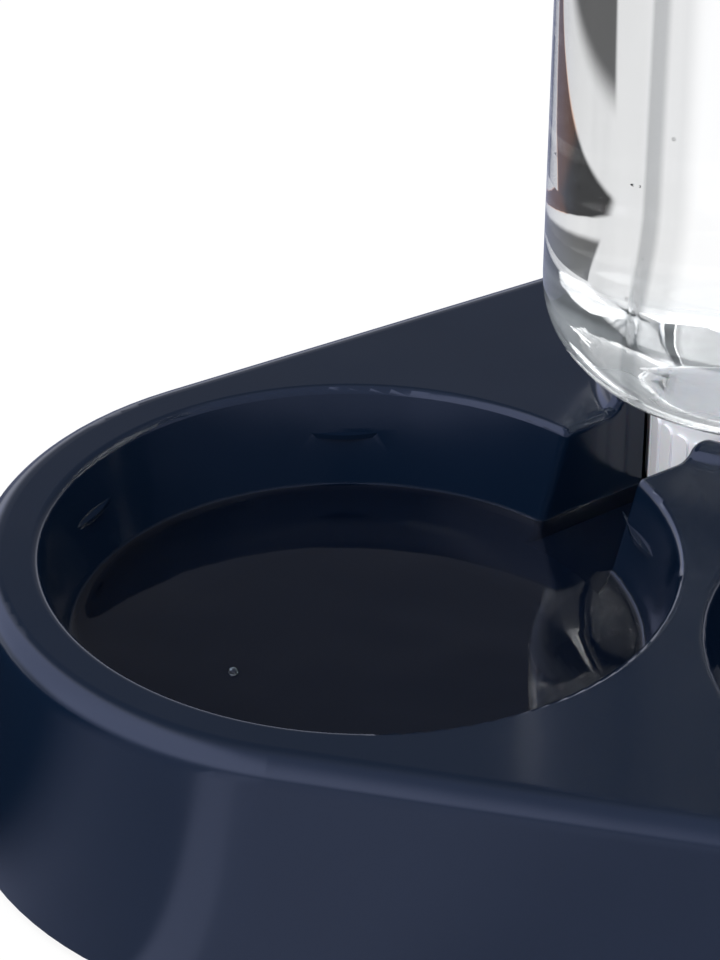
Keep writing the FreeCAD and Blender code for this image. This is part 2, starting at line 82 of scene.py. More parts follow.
# Depth of the closed layer that carries the bowl's water surface. The three bodies under it end inside it, each at
# a depth of its own, so that no two faces lie in one plane
LAYER_DEPTH = 0.006
BASIN_TOP = 0.003
WELL_TOP = 0.0034
TROUGH_TOP = 0.0038
TROUGH_RISE = 0.0003

# Distances from the wall at which a water surface has a ring of points
BOWL_STEPS = (0, 0.0002, 0.0005, 0.0009, 0.0014, 0.002, 0.0028, 0.0038, 0.005, 0.0062)
BOTTLE_STEPS = (0.0004, 0.0006, 0.0009, 0.0013, 0.0018, 0.0026, 0.0038, 0.0055, 0.008)

# The bubbles' random seeds, the lowest one's height, and how far the highest stays below the water's surface
BUBBLE_SEED = 7
LONE_SEED = 1
LOWEST_BUBBLE = 0.088
BUBBLE_HEADROOM = 0.012

# What every colour setting has
COLOUR = {"size": 4, "min": 0, "max": 1, "subtype": "COLOR"}

WHITE = (1, 1, 1, 1)

# Colour of the studio in glossy reflections
GLOSS_TINT = (0.80, 0.88, 1.30, 1)

# Pale panels in front of the base, as its skirt mirrors them: two directions round the left bowl in radians,
# between which a panel comes in, and how much brighter it is than the one before
FRONT_PANELS = ((-2.75, -2.36, 0.38), (-1.99, -1.94, 0.72), (-1.83, -1.79, -0.34), (-1.5, -1.2, -0.18))

# Softboxes: name, place, aim, width, height and power
LAMPS = (
    ("top_light", (0.0, -0.35, 1.6), (0, 0, 0), 2.4, 2.0, 25),
    ("front_light", (-0.7, -1.5, 0.9), (0, 0, 0.05), 1.0, 1.0, 18),
    ("left_light", (-1.6, 0.5, 1.0), (0, 0, 0.05), 0.5, 0.9, 3),
    ("right_light", (1.5, 0.9, 1.1), (0, 0, 0.05), 0.5, 0.8, 3),
)


class CatBowlSizes(bpy.types.PropertyGroup):
    """Sizes of the base that the water follows, as the moulding has them."""

    rim_radius: bpy.props.FloatProperty(
        name="Rim radius", description="Radius of each bowl at its rim", default=0.065, unit="LENGTH")
    rim_height: bpy.props.FloatProperty(
        name="Rim height", description="Height of the bowls' rims above the floor", default=0.060, unit="LENGTH")
    bowl_offset: bpy.props.FloatProperty(
        name="Bowl offset", description="Distance from the middle to each bowl's centre", default=0.0685, unit="LENGTH")
    bowl_depth: bpy.props.FloatProperty(
        name="Bowl depth", description="Depth of each bowl", default=0.034, unit="LENGTH")
    wall_lean: bpy.props.FloatProperty(
        name="Wall lean", description="Lean of the bowls' walls", default=math.radians(17), subtype="ANGLE")
    floor_round: bpy.props.FloatProperty(
        name="Floor round", description="Radius between a bowl's wall and floor", default=0.016, unit="LENGTH")
    channel_length: bpy.props.FloatProperty(
        name="Channel length", description="From the left bowl's rim to the seat's wall", default=0.0178, unit="LENGTH")
    channel_width: bpy.props.FloatProperty(
        name="Channel width", description="Width of the channel", default=0.0226, unit="LENGTH")
    channel_depth: bpy.props.FloatProperty(
        name="Channel depth", description="Depth of the channel below the rim", default=0.028, unit="LENGTH")
    seat_radius: bpy.props.FloatProperty(
        name="Seat radius", description="Inner radius of the bottle's seat", default=0.026, unit="LENGTH")


class CatBowlColours(bpy.types.PropertyGroup):
    """The colours of the plastics and rubbers. Each finish wanders between its deep and its light tone."""

    navy_deep: bpy.props.FloatVectorProperty(
        name="Navy, deep", description="Deep tone of the base", default=(0.0018, 0.0061, 0.0165, 1), **COLOUR)
    navy_light: bpy.props.FloatVectorProperty(
        name="Navy, light", description="Light tone of the base", default=(0.0026, 0.0081, 0.0215, 1), **COLOUR)
    wet_deep: bpy.props.FloatVectorProperty(
        name="Wet navy, deep", description="Deep tone of the base under water",
        default=(0.0011, 0.0027, 0.0078, 1), **COLOUR)
    wet_light: bpy.props.FloatVectorProperty(
        name="Wet navy, light", description="Light tone of the base under water",
        default=(0.0015, 0.0035, 0.0096, 1), **COLOUR)
    cap_deep: bpy.props.FloatVectorProperty(
        name="Cap, deep", description="Deep tone of the bottle's cap", default=(0.80, 0.81, 0.86, 1), **COLOUR)
    cap_light: bpy.props.FloatVectorProperty(
        name="Cap, light", description="Light tone of the bottle's cap", default=(0.88, 0.89, 0.93, 1), **COLOUR)
    valve_deep: bpy.props.FloatVectorProperty(
        name="Valve, deep", description="Deep tone of the valve's cage and plunger",
        default=(0.72, 0.72, 0.70, 1), **COLOUR)
    valve_light: bpy.props.FloatVectorProperty(
        name="Valve, light", description="Light tone of the valve's cage and plunger",
        default=(0.80, 0.80, 0.78, 1), **COLOUR)
    seal_deep: bpy.props.FloatVectorProperty(
        name="Seals, deep", description="Deep tone of the washer and the valve's ring",
        default=(0.60, 0.60, 0.58, 1), **COLOUR)
    seal_light: bpy.props.FloatVectorProperty(
        name="Seals, light", description="Light tone of the washer and the valve's ring",
        default=(0.72, 0.72, 0.70, 1), **COLOUR)
    foot_deep: bpy.props.FloatVectorProperty(
        name="Feet, deep", description="Deep tone of the rubber feet", default=(0.012, 0.012, 0.014, 1), **COLOUR)
    foot_light: bpy.props.FloatVectorProperty(
        name="Feet, light", description="Light tone of the rubber feet", default=(0.030, 0.030, 0.033, 1), **COLOUR)


class CatBowlWater(bpy.types.PropertyGroup):
    """The water in the left bowl and in the bottle."""

    mouth_dip: bpy.props.FloatProperty(
        name="Mouth dip", description="How far the water stands above the cap's lower face", default=0.001,
        unit="LENGTH")
    climb: bpy.props.FloatProperty(
        name="Climb", description="How far the water climbs up a wall", default=0.0007, unit="LENGTH")
    climb_reach: bpy.props.FloatProperty(
        name="Climb reach", description="Distance from the wall in which the climb fades", default=0.0012,
        unit="LENGTH")
    overlap: bpy.props.FloatProperty(
        name="Overlap", description="How far the hidden sides of the water reach into the plastic",
        default=0.001, unit="LENGTH")
    layer: bpy.props.FloatProperty(
        name="Layer", description="Thickness of the layer that carries the bottle's water surface", default=0.006,
        unit="LENGTH")
    bottle_level: bpy.props.FloatProperty(
        name="Bottle level", description="Height of the water in the bottle above the floor", default=0.196,
        unit="LENGTH")


class CatBowlThread(bpy.types.PropertyGroup):
    """The thread on the bottle's neck."""

    pitch: bpy.props.FloatProperty(name="Pitch", description="Rise of one turn", default=0.0042, unit="LENGTH")
    turns: bpy.props.FloatProperty(name="Turns", description="Number of turns", default=2.6)
    radius: bpy.props.FloatProperty(
        name="Radius", description="Outer radius of the bottle's neck", default=0.0204, unit="LENGTH")
    start: bpy.props.FloatProperty(
        name="Start", description="Height of the thread's start above the floor", default=0.0455, unit="LENGTH")
    height: bpy.props.FloatProperty(
        name="Height", description="How far the thread stands out", default=0.0011, unit="LENGTH")


class CatBowlSpring(bpy.types.PropertyGroup):
    """The valve's spring."""

    turns: bpy.props.FloatProperty(name="Turns", description="Number of turns", default=4)
    wire: bpy.props.FloatProperty(name="Wire", description="Diameter of the wire", default=0.0008, unit="LENGTH")
    travel: bpy.props.FloatProperty(
        name="Travel", description="How far the valve presses it together", default=0.003, unit="LENGTH")


class CatBowlBubbles(bpy.types.PropertyGroup):
    """Small air bubbles in the bottle and one on the bowl's water."""

    count: bpy.props.IntProperty(name="Count", description="Bubbles on the bottle's wall", default=46)
    smallest: bpy.props.FloatProperty(
        name="Smallest", description="Radius of the smallest bubble", default=0.00018, unit="LENGTH")
    largest: bpy.props.FloatProperty(
        name="Largest", description="Radius of the largest bubble", default=0.00042, unit="LENGTH")
    lone_radius: bpy.props.FloatProperty(
        name="Lone bubble", description="Radius of the bubble on the bowl's water", default=0.0011, unit="LENGTH")
    lone_distance: bpy.props.FloatProperty(
        name="Lone bubble's distance", description="From the left bowl's centre", default=0.0297, unit="LENGTH")
    lone_turn: bpy.props.FloatProperty(
        name="Lone bubble's direction", description="Seen from the left bowl's centre",
        default=math.radians(-137), subtype="ANGLE")


class CatBowlStage(bpy.types.PropertyGroup):
    """The camera."""

    azimuth: bpy.props.FloatProperty(
        name="Azimuth", description="Direction of the camera round the object", default=math.radians(12.68),
        subtype="ANGLE")
    elevation: bpy.props.FloatProperty(
        name="Elevation", description="Height of the camera above the horizon", default=math.radians(31.52),
        subtype="ANGLE")
    roll: bpy.props.FloatProperty(
        name="Roll", description="Tilt of the camera about its own axis", default=math.radians(1.21),
        subtype="ANGLE")
    distance: bpy.props.FloatProperty(
        name="Distance", description="From the aim to the camera", default=1.101, unit="LENGTH")
    aim_right: bpy.props.FloatProperty(
        name="Aim right", description="Aim beside the left bowl's middle", default=-0.00011, unit="LENGTH")
    aim_up: bpy.props.FloatProperty(
        name="Aim up", description="Aim above the left bowl's middle", default=0.01425, unit="LENGTH")
    lens: bpy.props.FloatProperty(
        name="Lens", description="Focal length of the camera on a 36 mm frame", default=204.2)


# Node helpers

class Wire:
    """A node's output socket, on which sums and products add Math nodes."""

    def __init__(self, shop, socket):
        self.shop = shop
        self.socket = socket

    def maths(self, operation, first, second=0.0):
        """A Math node on one or two values."""
        return self.shop.add("ShaderNodeMath", {"operation": operation}, {0: first, 1: second})

    def absolute(self):
        """The size of the value without its sign."""
        return self.maths("ABSOLUTE", self)

    def cosine(self):
        """The cosine of an angle."""
        return self.maths("COSINE", self)

    def sine(self):
        """The sine of an angle."""
        return self.maths("SINE", self)

    def turn_from(self, other):
        """The angle whose sine runs as this value and whose cosine runs as the other."""
        return self.maths("ARCTAN2", self, other)

    def __add__(self, other):
        return self.maths("ADD", self, other)

    def __radd__(self, other):
        return self.maths("ADD", other, self)

    def __sub__(self, other):
        return self.maths("SUBTRACT", self, other)

    def __rsub__(self, other):
        return self.maths("SUBTRACT", other, self)

    def __mul__(self, other):
        return self.maths("MULTIPLY", self, other)

    def __rmul__(self, other):
        return self.maths("MULTIPLY", other, self)

    def __pow__(self, other):
        return self.maths("POWER", self, other)

    def at_most(self, other):
        """The lower of two values."""
        return self.maths("MINIMUM", self, other)

    def at_least(self, other):
        """The higher of two values."""
        return self.maths("MAXIMUM", self, other)

    def above(self, other):
        """1 where this value is the higher one, otherwise 0."""
        return self.maths("GREATER_THAN", self, other)

    def below(self, other):
        """1 where this value is the lower one, otherwise 0."""
        return self.maths("LESS_THAN", self, other)

    def ramp(self, low, high):
        """0 at low, 1 at high and a smooth change between."""
        return self.shop.add("ShaderNodeMapRange", {"interpolation_type": "SMOOTHSTEP"},
                             {"Value": self, "From Min": low, "From Max": high})


class Shop:
    """A node tree that is being filled."""

    def __init__(self, tree, outlet="ShaderNodeOutputMaterial"):
        self.tree = tree
        self.outlet = outlet
        tree.nodes.clear()

    def add(self, kind, settings=None, inputs=None, output=0):
        """A node with its settings and the values or wires of its sockets. Returns one output as a Wire."""
        node = self.tree.nodes.new(kind)
        for name, value in (settings or {}).items():
            setattr(node, name, value)
        for name, value in (inputs or {}).items():
            if isinstance(value, Wire):
                self.tree.links.new(value.socket, node.inputs[name])
            else:
                node.inputs[name].default_value = value
        return Wire(self, node.outputs[output]) if len(node.outputs) else node

    def place(self, scale=(1, 1, 1), centre=(0, 0, 0)):
        """The piece's own coordinates, centred and stretched."""
        where = self.add("ShaderNodeTexCoord", output="Object")
        return self.add("ShaderNodeMapping", {"vector_type": "POINT"},
                        {"Vector": where, "Location": tuple(-part * size for part, size in zip(centre, scale)),
                         "Scale": scale})

    def parts(self, vector):
        """The x, y and z of a vector."""
        node = self.tree.nodes.new("ShaderNodeSeparateXYZ")
        self.tree.links.new(vector.socket, node.inputs[0])
        return [Wire(self, output) for output in node.outputs]

    def plan_distance(self, x, y, centre):
        """The distance in plan from a centre."""
        across, along = x - centre.x, y - centre.y
        return (across * across + along * along) ** 0.5

    def rays(self, *kinds):
        """1 for a ray of one of these kinds. The kinds are the names of Light Path's outputs."""
        path = self.tree.nodes.new("ShaderNodeLightPath")
        found = Wire(self, path.outputs[kinds[0]])
        for kind in kinds[1:]:
            found = found.at_least(Wire(self, path.outputs[kind]))
        return found

    def cloud(self, where, scale, detail=3.0, rough=0.5, warp=0.0):
        """A noise value between 0 and 1."""
        return self.add("ShaderNodeTexNoise", None,
                        {"Vector": where, "Scale": scale, "Detail": detail, "Roughness": rough, "Distortion": warp})

    def blend_colour(self, factor, first, second):
        """A mix of two colours."""
        node = self.tree.nodes.new("ShaderNodeMix")
        node.data_type = "RGBA"
        for name, value in ((0, factor), (6, first), (7, second)):
            if isinstance(value, Wire):
                self.tree.links.new(value.socket, node.inputs[name])
            else:
                node.inputs[name].default_value = value
        return Wire(self, node.outputs[2])

    def relief(self, height, depth, under=None):
        """A bump whose height of 1 stands for a depth in metres."""
        inputs = {"Height": height, "Distance": depth, "Strength": 1.0}
        if under is not None:
            inputs["Normal"] = under
        return self.add("ShaderNodeBump", None, inputs)

    def surface(self, **inputs):
        """A Principled shader. Underscores in the names stand for spaces."""
        return self.add("ShaderNodeBsdfPrincipled", None,
                        {name.replace("_", " "): value for name, value in inputs.items()})

    def clear(self, colour=WHITE):
        """A shader that bends and mirrors nothing."""
        return self.add("ShaderNodeBsdfTransparent", None, {"Color": colour})

    def mix(self, factor, first, second):
        """A mix of two shaders."""
        return self.add("ShaderNodeMixShader", None, {0: factor, 1: first, 2: second})

    def finish(self, shader):
        """The material's or the world's output."""
        self.add(self.outlet, None, {"Surface": shader})


def new_material(name):
    """A material and the shop for its nodes."""
    material = bpy.data.materials.new(name)
    material.use_nodes = True
    return material, Shop(material.node_tree)


def see_through(shop, shader):
    """Lets light pass for shadows and diffuse light, as water and clear plastic do."""
    return shop.mix(shop.rays("Is Shadow Ray", "Is Diffuse Ray"), shader, shop.clear((0.985, 0.99, 0.995, 1)))


# Finishes

def navy_plastic(sizes, colours, level):
    """Dark navy plastic with a moulded gloss, which loses its shine under the water."""
    material, shop = new_material("navy_plastic")
    where = shop.place()
    tint = shop.cloud(where, scale=26, detail=4)
    colour = shop.blend_colour(tint, colours.navy_deep, colours.navy_light)
    smudge = shop.cloud(where, scale=11, detail=5, rough=0.6).ramp(0.45, 0.75)
    grain = shop.cloud(where, scale=1500, detail=2)
    gloss = 0.13 + smudge * 0.06 + grain * 0.03
    waves = shop.relief(shop.cloud(where, scale=34, detail=1), depth=0.00012)
    skin = shop.relief(grain, depth=0.000004, under=waves)
    dry = shop.surface(Base_Color=colour, Roughness=gloss, IOR=1.46, Normal=skin)
    deep = shop.blend_colour(tint, colours.wet_deep, colours.wet_light)
    wet = shop.surface(Base_Color=deep, Roughness=gloss, IOR=1.06, Normal=skin)

    # Inside the bowl, the seat or the channel, in plan
    bowl, along, across, reach = row_places(sizes)
    x, y, z = shop.parts(where)
    slope = math.tan(sizes.wall_lean)
    inside = shop.plan_distance(x, y, bowl).below(sizes.rim_radius + WET_SIDE - (sizes.rim_height - z) * slope)
    inside = inside.at_least(shop.plan_distance(x, y, SEAT_AXIS).below(sizes.seat_radius + WET_SIDE))
    middle = (bowl + SEAT_AXIS) / 2
    aside = (x - middle.x) * across.x + (y - middle.y) * across.y
    forth = (x - middle.x) * along.x + (y - middle.y) * along.y
    trough = aside.absolute().below(sizes.channel_width / 2 + WET_SIDE)
    inside = inside.at_least(trough * forth.absolute().below(reach / 2))
    low = sizes.rim_height - sizes.bowl_depth - WET_DEPTH
    shop.finish(shop.mix(inside * z.below(level) * z.above(low), dry, wet))
    return material


def clear_plastic(level):
    """Clear blown plastic. Where water stands behind it the inner face vanishes and the outer one bends as water."""
    material, shop = new_material("clear_plastic")
    x, y, z = shop.parts(shop.place())
    seam_turn = math.radians(SEAM_TURN)
    off_seam = (x - SEAT_AXIS.x) * math.sin(seam_turn) - (y - SEAT_AXIS.y) * math.cos(seam_turn)

    # The parting line's ridge and the wall's long streaks, both smooth on the shoulder
    streaks = shop.cloud(shop.place(scale=(90, 90, 5), centre=SEAT_AXIS), scale=1, detail=2)
    seam = 1.0 - off_seam.absolute().ramp(0.0002, 0.0016)
    straight = z.ramp(0.080, 0.100)
    uneven = shop.relief(seam * straight, depth=0.00018, under=shop.relief(streaks * straight, depth=0.00012))

    # The front wall's grey is painted shade, for the dark things that the wall bends and mirrors: a broad streaky grey
    # on one side of the parting line, a painted grey band beside it and a painted dark ring round the shoulder
    aside = 0.0 - off_seam + (1.0 - z.ramp(0.085, 0.125)) * 0.004
    # A painted grey band of shade beside the parting line
    painted_grey_band = aside.ramp(0.0004, 0.0018) * (1.0 - aside.ramp(0.0040, 0.0062))
    # Painted shade: a broad streaky grey on one side of the parting line, with the painted band added
    painted_veil_shade = (1.0 - aside.ramp(0.0085, 0.0130)) * (0.20 + streaks * 0.42) + painted_grey_band * 0.42
    # A painted dark line of shade round the shoulder's step
    ring = (1.0 - (z - PAINTED_RING_HEIGHT).absolute().ramp(0.0004, 0.0012)) * off_seam.below(0.0)
    # The painted shade falls only on the half of the bottle that faces the camera
    front = (SEAT_AXIS.y - y).ramp(0.0, 0.006)
    painted_shade_tint = shop.blend_colour(painted_veil_shade.at_least(ring * 0.8) * front, (0.99, 0.995, 1.0, 1), (0.10, 0.11, 0.12, 1))
    tone = {"Base_Color": painted_shade_tint, "Roughness": 0.0, "Transmission_Weight": 1.0, "Normal": uneven}
    dry = shop.surface(IOR=1.49, **tone)
    wet = shop.surface(IOR=1.335, **tone)

    # A pale haze painted into the plastic of the shoulder: painted sheen, in place of the light that the shoulder
    # mirrors
    face = shop.tree.nodes.new("ShaderNodeNewGeometry")
    within = Wire(shop, face.outputs["Backfacing"])
    # A pale, partly opaque surface that paints the sheen on the shoulder
    painted_sheen_haze = shop.surface(Base_Color=(0.74, 0.79, 0.82, 1), Roughness=0.25, IOR=1.49)
    swirl = shop.cloud(shop.place(scale=(60, 60, 160), centre=SEAT_AXIS), scale=1, detail=2, warp=0.6)
    shoulder = (1.0 - (z + within * 0.014).ramp(0.078, 0.094)) * z.ramp(0.060, 0.066)
    wet = shop.mix(shoulder * (0.20 + swirl.ramp(0.35, 0.7) * 0.30), wet, painted_sheen_haze)

    # Only the outer face is seen where water fills the bottle
    east, north, up = shop.parts(Wire(shop, face.outputs["Normal"]))
    side = 1.0 - within * 2.0
    outward = (east * (x - SEAT_AXIS.x) + north * (y - SEAT_AXIS.y) - up * 0.02) * side
    filled = shop.mix(outward.below(0.0), wet, shop.clear())
    shop.finish(see_through(shop, shop.mix(z.below(level), dry, filled)))
    return material


def still_water(name, top=None):
    """Still water with faint ripples. With a top height, only the surface above that height is seen."""
    material, shop = new_material(name)
    ripples = shop.relief(shop.cloud(shop.place(), scale=45, detail=1), depth=0.00015)
    body = shop.surface(Base_Color=(0.97, 0.99, 1.0, 1), Roughness=0.0, IOR=1.333, Transmission_Weight=1.0,
                        Normal=ripples)
    if top is not None:
        x, y, z = shop.parts(shop.place())
        in_wall = shop.plan_distance(x, y, SEAT_AXIS).above(BOTTLE_RADIUS - WATER_SHOWS)
        body = shop.mix(z.below(top).at_least(in_wall), body, shop.clear())
    shop.finish(see_through(shop, body))
    return material


def bubble_film():
    """The thin skin of a bubble, seen mostly at its rim."""
    material, shop = new_material("bubble_film")
    swirl = shop.cloud(shop.place(), scale=2500, detail=2)
    edge = shop.add("ShaderNodeFresnel", None, {"IOR": 1.33})
    shine = shop.add("ShaderNodeBsdfGlossy", None, {"Color": (0.9, 0.95, 1, 1), "Roughness": 0.02 + swirl * 0.03})
    shop.finish(shop.mix(edge, shop.clear(), shine))
    return material


def cap_plastic(colours):
    """Pale cap plastic with a soft sheen and faint flow marks."""
    material, shop = new_material("cap_plastic")
    flow = shop.cloud(shop.place(scale=(90, 90, 14), centre=SEAT_AXIS), scale=1, detail=3)
    colour = shop.blend_colour(flow, colours.cap_deep, colours.cap_light)
    grain = shop.cloud(shop.place(), scale=1800, detail=2)
    shop.finish(shop.surface(Base_Color=colour, Roughness=0.3 + flow * 0.12, IOR=1.49,
                             Subsurface_Weight=0.15, Subsurface_Scale=0.002,
                             Normal=shop.relief(grain, depth=0.000006)))
    return material


def valve_plastic(colours):
    """Natural white plastic of the valve's small parts."""
    material, shop = new_material("valve_plastic")
    mottle = shop.cloud(shop.place(), scale=220, detail=3)
    colour = shop.blend_colour(mottle, colours.valve_deep, colours.valve_light)
    shop.finish(shop.surface(Base_Color=colour, Roughness=0.32 + mottle * 0.1, IOR=1.49,
                             Normal=shop.relief(mottle, depth=0.00001)))
    return material


def rubber(name, deep, light, scale):
    """Matt rubber with a fine grain."""
    material, shop = new_material(name)
    grain = shop.cloud(shop.place(), scale, detail=4, rough=0.65)
    colour = shop.blend_colour(grain, deep, light)
    shop.finish(shop.surface(Base_Color=colour, Roughness=0.62 + grain * 0.2, IOR=1.5,
                             Normal=shop.relief(grain, depth=0.00004)))
    return material


def spring_steel():
    """Drawn steel wire."""
    material, shop = new_material("spring_steel")
    lines = shop.cloud(shop.place(scale=(900, 900, 4000)), scale=1, detail=2)
    colour = shop.blend_colour(lines, (0.48, 0.48, 0.48, 1), (0.66, 0.66, 0.65, 1))
    shop.finish(shop.surface(Base_Color=colour, Metallic=1.0, Roughness=0.22 + lines * 0.15))
    return material


def dress(node, material):
    """Gives a CAD node a material."""
    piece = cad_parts[node]
    for holder in piece.material_slots:
        holder.material = material
    if not piece.material_slots:
        piece.data.materials.append(material)


# Mesh helpers

def make_object(name, mesh, material):
    """An object at the origin with one material."""
    mesh.materials.append(material)
    piece = bpy.data.objects.new(name, mesh)
    bpy.context.scene.collection.objects.link(piece)
    return piece


def mesh_from(name, points, faces):
    """A smooth mesh whose faces point outwards."""
    mesh = bpy.data.meshes.new(name)
    mesh.from_pydata(points, [], faces)
    shape = bmesh.new()
    shape.from_mesh(mesh)
    bmesh.ops.remove_doubles(shape, verts=shape.verts, dist=1e-7)
    bmesh.ops.recalc_face_normals(shape, faces=shape.faces)
    for face in shape.faces:
        face.smooth = True
    shape.to_mesh(mesh)
    shape.free()
    return mesh


def stack(rings, close_ends=True):
    """Points and faces through rings of equal length. A profile that ends on its axis needs no end faces."""
    count = len(rings[0])
    points = [point for ring in rings for point in ring]
    faces = []
    for level in range(len(rings) - 1):
        for step in range(count):
            after = (step + 1) % count
            faces.append((level * count + step, level * count + after,
                          (level + 1) * count + after, (level + 1) * count + step))
    if close_ends:
        faces.append(tuple(range(count)))
        faces.append(tuple(range((len(rings) - 1) * count, len(rings) * count)))
    return points, faces


def turned(profile, axis, sides):
    """Rings round an axis from a profile of (radius, height)."""
    return [[Vector((axis.x + radius * math.cos(turn), axis.y + radius * math.sin(turn), height))
             for turn in (2 * math.pi * step / sides for step in range(sides))] for radius, height in profile]


def arc(centre, radius, start, end, steps):
    """Points (radius, height) along an arc, its angles in degrees."""
    turns = [math.radians(start + (end - start) * step / steps) for step in range(steps + 1)]
    return [(centre[0] + radius * math.cos(turn), centre[1] + radius * math.sin(turn)) for turn in turns]


def join_together(piece, others):
    """Joins closed meshes into one and removes the others."""
    for other in others:
        join = piece.modifiers.new("join", "BOOLEAN")
        join.operation = "UNION"
        join.solver = "EXACT"
        join.object = other
    depsgraph = bpy.context.evaluated_depsgraph_get()
    mesh = bpy.data.meshes.new_from_object(piece.evaluated_get(depsgraph))
    piece.modifiers.clear()
    piece.data = mesh
    for other in others:
        bpy.data.objects.remove(other)


# The water in the left bowl

def row_places(sizes):
    """The left bowl's centre, the unit vectors along and across the channel, and the way to the seat's axis."""
    reach = sizes.rim_radius + sizes.channel_length + sizes.seat_radius
    back = math.sqrt(reach ** 2 - sizes.bowl_offset ** 2)
    bowl = Vector((-sizes.bowl_offset, SEAT_AXIS.y - back, 0))
    along = (SEAT_AXIS - bowl).normalized()
    return bowl, along, Vector((-along.y, along.x, 0)), reach


def water_outline(sizes, bowl_radius, inset):
    """The edge of the water in plan: round the bowl, through the channel, round the seat and back."""
    bowl, along, across, reach = row_places(sizes)
    big = bowl_radius - inset
    small = sizes.seat_radius - inset
    half = sizes.channel_width / 2 - inset
    open_big, open_small = math.asin(half / big), math.asin(half / small)
    flat = []
    for step in range(180):
        turn = open_big + (2 * math.pi - 2 * open_big) * step / 179
        flat.append((big * math.cos(turn), big * math.sin(turn)))
    start, end = big * math.cos(open_big), reach - small * math.cos(open_small)
    flat += [(start + (end - start) * step / 12, -half) for step in range(1, 12)]
    for step in range(110):
        turn = -math.pi + open_small + (2 * math.pi - 2 * open_small) * step / 109
        flat.append((reach + small * math.cos(turn), small * math.sin(turn)))
    flat += [(end + (start - end) * step / 12, half) for step in range(1, 12)]
    return [bowl + along * x + across * y for x, y in flat]


def bowl_water(sizes, wet, material):
    """Water that fills the left bowl, the channel and the seat, with its edge drawn up the walls."""
    level = CAP_LOW.z + wet.mouth_dip
    slope = math.tan(sizes.wall_lean)
    wall = sizes.rim_radius - (sizes.rim_height - level) * slope
    rings = [[point + Vector((0, 0, level - LAYER_DEPTH)) for point in water_outline(sizes, wall, -wet.overlap)]]
    for inset in (-wet.overlap,) + BOWL_STEPS:
        climb = wet.climb * math.exp(-max(inset, 0) / wet.climb_reach)
        rings.append([point + Vector((0, 0, level + climb)) for point in water_outline(sizes, wall, inset)])
    piece = make_object("bowl_water", mesh_from("bowl_water", *stack(rings)), material)

    # What stands in the bowl, under the layer
    floor = sizes.rim_height - sizes.bowl_depth
    lean = math.degrees(sizes.wall_lean)
    corner = sizes.floor_round
    middle = (sizes.rim_radius - (sizes.bowl_depth - corner) * slope - corner / math.cos(sizes.wall_lean),
              floor + corner)
    profile = [(0.0, floor - wet.overlap)] + arc(middle, corner + wet.overlap, -90, -lean, 12)
    profile.append((wall + wet.overlap - BASIN_TOP * slope, level - BASIN_TOP))
    profile.append((0.0, level - BASIN_TOP))
    bowl, along, across, reach = row_places(sizes)
    basin = make_object("basin", mesh_from("basin", *stack(turned(profile, bowl, 128), close_ends=False)), material)

    # In the seat
    low = sizes.rim_height - sizes.channel_depth - wet.overlap
    hidden = wet.overlap * 0.7
    edge = sizes.seat_radius + hidden
    round_seat = turned([(0.0, low), (edge, low), (edge, level - WELL_TOP), (0.0, level - WELL_TOP)], SEAT_AXIS, 96)
    well = make_object("well", mesh_from("well", *stack(round_seat, close_ends=False)), material)

    # In the channel, from well inside the bowl to the seat's axis
    half = sizes.channel_width / 2 + hidden
    start = sizes.rim_radius * 0.7
    ends = [(start, -half), (reach, -half), (reach, half), (start, half)]
    block = [[bowl + along * x + across * y + Vector((0, 0, height)) for x, y in ends]
             for height in (low + TROUGH_RISE, level - TROUGH_TOP)]
    trough = make_object("trough", mesh_from("trough", *stack(block)), material)

    join_together(piece, [basin, well, trough])
    for face in piece.data.polygons:
        face.use_smooth = True
    piece.data.set_sharp_from_angle(angle=math.radians(35))
    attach(piece, "base_body")


# The water in the bottle

def bottle_water(wet, material):
    """The upper layer of the water in the bottle. The bottle's own finish shows the rest of it."""
    wall = BOTTLE_RADIUS - WATER_EDGE
    level = wet.bottle_level
    profile = [(0.0, level - wet.layer), (wall, level - wet.layer), (wall, level + wet.climb)]
    for inset in BOTTLE_STEPS:
        profile.append((wall - inset, level + wet.climb * math.exp((BOTTLE_STEPS[0] - inset) / wet.climb_reach)))
    profile.append((0.0, level))
    mesh = mesh_from("bottle_water", *stack(turned(profile, SEAT_AXIS, 160), close_ends=False))
    mesh.set_sharp_from_angle(angle=math.radians(40))
    piece = make_object("bottle_water", mesh, material)
    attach(piece, "base_body")


# Pieces that follow a rule

def new_rule(name, sockets):
    """A Geometry Nodes tree, its shop and a Wire for each named input."""
    tree = bpy.data.node_groups.new(name, "GeometryNodeTree")
    shop = Shop(tree, "NodeGroupOutput")
    for label, kind in sockets.items():
        tree.interface.new_socket(label, in_out="INPUT", socket_type="NodeSocket" + kind)
    tree.interface.new_socket("Geometry", in_out="OUTPUT", socket_type="NodeSocketGeometry")
    entry = tree.nodes.new("NodeGroupInput")
    return tree, shop, {label: Wire(shop, entry.outputs[label]) for label in sockets}


def end_rule(shop, shape, place, material):
    """The shape moved to its place, as real smooth geometry with its material, at the tree's output."""
    moved = shop.add("GeometryNodeTransform", None, {"Geometry": shape, "Translation": place})
    real = shop.add("GeometryNodeRealizeInstances", None, {"Geometry": moved})
    smooth = shop.add("GeometryNodeSetShadeSmooth", None, {"Geometry": real})
    done = shop.add("GeometryNodeSetMaterial", None, {"Geometry": smooth, "Material": material})
    shop.add(shop.outlet, None, {"Geometry": done})


def build_by_rule(name, tree, values):
    """A plain mesh object from a tree and the values of its inputs."""
    holder = bpy.data.objects.new(name, bpy.data.meshes.new(name))
    bpy.context.scene.collection.objects.link(holder)
    rule = holder.modifiers.new("rule", "NODES")
    rule.node_group = tree
    for item in tree.interface.items_tree:
        if item.in_out == "INPUT":
            rule[item.identifier] = values[item.name]
    bpy.context.view_layer.update()
    mesh = bpy.data.meshes.new_from_object(holder.evaluated_get(bpy.context.evaluated_depsgraph_get()))
    holder.modifiers.clear()
    holder.data = mesh
    return holder


